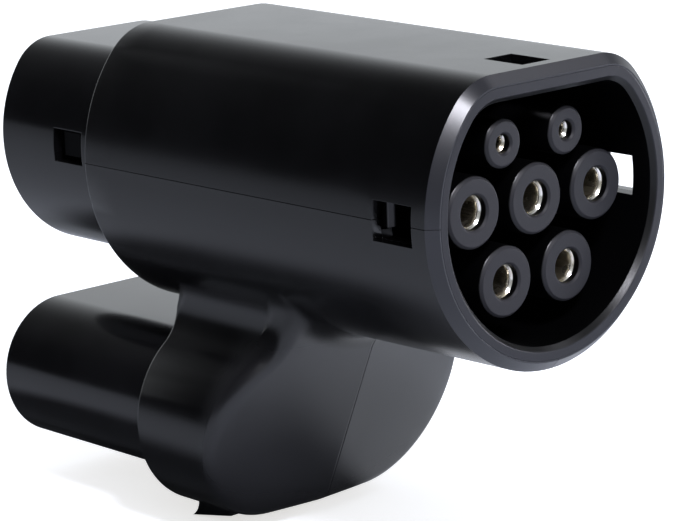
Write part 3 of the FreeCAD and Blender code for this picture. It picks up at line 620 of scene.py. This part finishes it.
def metal_group():
    """Group: turned rings along Y, blotchy tarnish mask, and a roughness that follows it."""
    group, given, result = mask_group(
        "worked_metal",
        (("Ring Pitch", silver_rings[0]), ("Low Roughness", silver_sheen[0]),
         ("High Roughness", silver_sheen[1])),
        ("Rings", "Tarnish", "Roughness"))
    rings = group.nodes.new("ShaderNodeTexNoise")
    rings.noise_dimensions = "1D"
    rings.inputs["Scale"].default_value = 1.0
    rings.inputs["Detail"].default_value = rings_detail
    along = calculate(group, "DIVIDE", coordinate(group, "Y"), given.outputs["Ring Pitch"])
    group.links.new(along, rings.inputs["W"])
    place = group.nodes.new("ShaderNodeTexCoord").outputs["Object"]
    tarnish = ramp(group, noise(group, place, tarnish_scale, tarnish_detail), *tarnish_edge)
    rough = between(
        group, tarnish, given.outputs["Low Roughness"], given.outputs["High Roughness"])
    group.links.new(rings.outputs["Fac"], result.inputs["Rings"])
    group.links.new(tarnish, result.inputs["Tarnish"])
    group.links.new(rough, result.inputs["Roughness"])
    return group


worked_metal = metal_group()


def turned_metal(name, colour, tarnish_colour, sheen, rings):
    """Metal whose colour goes from clean to tarnished, with turned rings in its surface.

    Sheen is the lowest and highest roughness, and rings are their pitch and their depth.
    """
    material, tree, output = node_material(name)
    surface = tree.nodes.new("ShaderNodeGroup")
    surface.node_tree = worked_metal
    surface.inputs["Ring Pitch"].default_value = rings[0]
    surface.inputs["Low Roughness"].default_value = sheen[0]
    surface.inputs["High Roughness"].default_value = sheen[1]
    bump = tree.nodes.new("ShaderNodeBump")
    bump.inputs["Strength"].default_value = rings_strength
    bump.inputs["Distance"].default_value = rings[1]
    tree.links.new(surface.outputs["Rings"], bump.inputs["Height"])
    shader = tree.nodes.new("ShaderNodeBsdfPrincipled")
    shader.inputs["Metallic"].default_value = 1.0
    tone = mixed(tree, surface.outputs["Tarnish"], colour, tarnish_colour)
    tree.links.new(tone, shader.inputs["Base Color"])
    tree.links.new(surface.outputs["Roughness"], shader.inputs["Roughness"])
    tree.links.new(bump.outputs["Normal"], shader.inputs["Normal"])
    tree.links.new(shader.outputs["BSDF"], output.inputs["Surface"])
    return material


silver_plate = turned_metal(
    "silver_plate", silver, silver_tarnish, silver_sheen, silver_rings)
for name in ("earth_socket", "pilot_socket", "proximity_socket",
             "power_socket_left", "power_socket_right",
             "power_socket_lower_left", "power_socket_lower_right",
             "dc_pin_left", "dc_pin_right", "earth_pin", "pilot_pin", "proximity_pin"):
    finish_node(name, silver_plate)

# Contact springs: a crown of thin fingers inside each socket, stamped from a springy copper
# alloy and flashed with gold. Each finger bows inwards to grip the pin of the vehicle's inlet.
spring_gold = (0.78, 0.74, 0.65, 1.0)
spring_tarnish = (0.46, 0.41, 0.31, 1.0)
spring_sheen = (0.20, 0.34)
spring_rings = (0.0016, 0.00001)
spring_metal = turned_metal(
    "gold_flashed_springs", spring_gold, spring_tarnish, spring_sheen, spring_rings)
power_places = ((0.0, 0.0), (-0.0165, 0.0), (0.0165, 0.0), (-0.0084, -0.0145), (0.0084, -0.0145))
signal_places = ((-0.00845, 0.0117), (0.00845, 0.0117))
crown_front = 0.0070
crown_sheet = 0.00010
crown_flare = 0.00028
flare_fade = 0.03
finger_points = 8
crown_rings = 26
front_crowding = 1.4


def spring_crowns(name, places, bore, bow, length, fingers):
    """Waisted tubes with lengthwise ridges.

    Radius at angle a and depth share s: bore - bow * sin(pi * s) * ridge(a) + a flare that
    fades as exp(-s / 0.03), where ridge(a) = 1 - (1 - |sin(a * fingers / 2)|) ** 4. The shares
    are even steps to the power 1.4, so the rings lie closer together at the front.
    """
    turns = fingers * finger_points
    angle = np.linspace(0.0, 2 * math.pi, turns, endpoint=False)
    share = np.linspace(0.0, 1.0, crown_rings) ** front_crowding
    a, s = np.meshgrid(angle, share, indexing="ij")
    ridge = 1 - (1 - np.abs(np.sin(a * fingers / 2))) ** 4
    flare = crown_flare * np.exp(-s / flare_fade)
    radius = bore - bow * np.sin(math.pi * s) * ridge + flare
    shape = np.stack([radius * np.cos(a), crown_front + length * s, radius * np.sin(a)], axis=-1)
    index = np.arange(turns * crown_rings).reshape(turns, crown_rings)
    after = np.roll(index, -1, axis=0)
    quads = np.stack([index[:, :-1], after[:, :-1], after[:, 1:], index[:, 1:]], axis=-1)
    quads = quads.reshape(-1, 4)
    offsets = np.array([(x, 0.0, z) for x, z in places])
    points = (shape.reshape(1, -1, 3) + offsets[:, None, :]).reshape(-1, 3)
    first_points = np.arange(len(places)) * turns * crown_rings
    faces = (quads[None] + first_points[:, None, None]).reshape(-1, 4)
    mesh = bpy.data.meshes.new(name)
    mesh.from_pydata(points.tolist(), [], faces.tolist())
    mesh.polygons.foreach_set("use_smooth", np.ones(len(mesh.polygons), bool))
    crowns = bpy.data.objects.new(name, mesh)
    bpy.context.scene.collection.objects.link(crowns)
    wall = crowns.modifiers.new("sheet", "SOLIDIFY")
    wall.thickness = crown_sheet
    wall.offset = 1.0
    crowns.data.materials.append(spring_metal)
    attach(crowns, "housing")


spring_crowns("power_contact_springs", power_places,
              bore=0.00288, bow=0.00034, length=0.0110, fingers=12)
spring_crowns("signal_contact_springs", signal_places,
              bore=0.00140, bow=0.00018, length=0.0070, fingers=6)

# Bus bars: straps of bare copper, bent to carry the current from the rear pins up to the front
# sockets, and dulled brown where the air reached them.
copper = (0.74, 0.40, 0.26, 1.0)
copper_tarnish = (0.42, 0.20, 0.13, 1.0)
copper_sheen = (0.28, 0.45)
copper_rings = (0.0012, 0.00001)
bare_copper = turned_metal(
    "bare_copper", copper, copper_tarnish, copper_sheen, copper_rings)
for name in ("bus_bar_left", "bus_bar_right"):
    finish_node(name, bare_copper)

# Steel parts: the fasteners, the lever's pivot and its hairpin spring, zinc plated, bluish and
# dull. They hold the bus bars, the big pins, the lower halves and the lever.
steel = (0.55, 0.56, 0.58, 1.0)
steel_tarnish = (0.38, 0.38, 0.39, 1.0)
steel_sheen = (0.28, 0.42)
steel_rings = (0.0006, 0.00001)
plated_steel = turned_metal(
    "plated_steel", steel, steel_tarnish, steel_sheen, steel_rings)
for name in ("bus_bar_screws", "dc_pin_nuts", "housing_screws", "lock_pivot", "lock_spring"):
    finish_node(name, plated_steel)

# Lock lever: a moulded rocker on a steel pivot, whose front end shows as a grey bar in the left
# window. Behind the window and on its inner side it is painted black, a painted shade for its
# place deep in the housing.
lever_grey = (0.06, 0.06, 0.064, 1.0)
lever_haze = (0.075, 0.075, 0.08, 1.0)
lever_sheen = (0.40, 0.50)
lever_grain = (0.0003, 0.00002)
lever_dark = (0.0140, 0.0145)
lever_inner = (-0.0286, -0.0280)
lever_index = 1.12
lever_plastic = moulded_plastic(
    "grey_lever", lever_grey, lever_haze, lever_sheen, lever_grain)
tree = lever_plastic.node_tree
shader = tree.nodes["Principled BSDF"]
shader.inputs["IOR"].default_value = lever_index
shade = ramp(tree, coordinate(tree, "Y"), *lever_dark)
shade = calculate(tree, "MAXIMUM", shade, ramp(tree, coordinate(tree, "X"), *lever_inner))
overlay(tree, shader.inputs["Base Color"], shade, painted_shade_black)
finish_node("lock_lever", lever_plastic)
